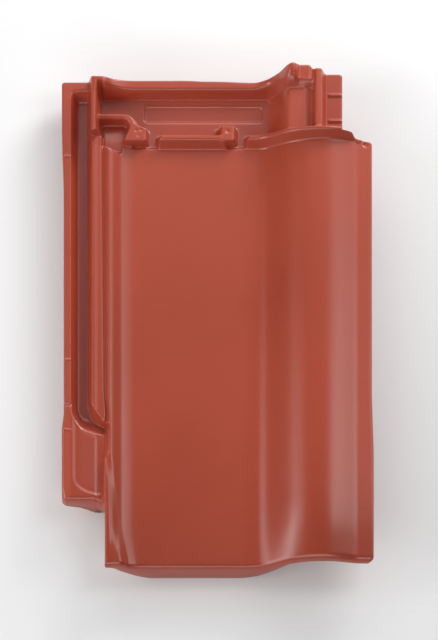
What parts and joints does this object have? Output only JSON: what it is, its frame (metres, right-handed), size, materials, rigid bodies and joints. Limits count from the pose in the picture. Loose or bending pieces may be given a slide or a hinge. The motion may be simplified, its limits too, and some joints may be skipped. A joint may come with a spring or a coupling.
{
  "type": "clay roof tile",
  "caption": "Interlocking clay roof tile with a flat pan, a side roll, an underlapping side lock with a gutter, a head lock and hanging nibs.",
  "frame": {"origin": "centre of the bounding box's base, on the plane that the foot edge, the lock rib and the nib tips rest on", "axes": "+X across the roof from side lock to cover edge, +Y up the slope from foot to head, +Z out of the weather face"},
  "size_m": [0.282, 0.4766, 0.07],
  "materials": {
    "engobed_clay": "satin engobe, natural red"
  },
  "bodies": {
    "root": {"roof_tile": "engobed_clay"}
  },
  "joints": []
}
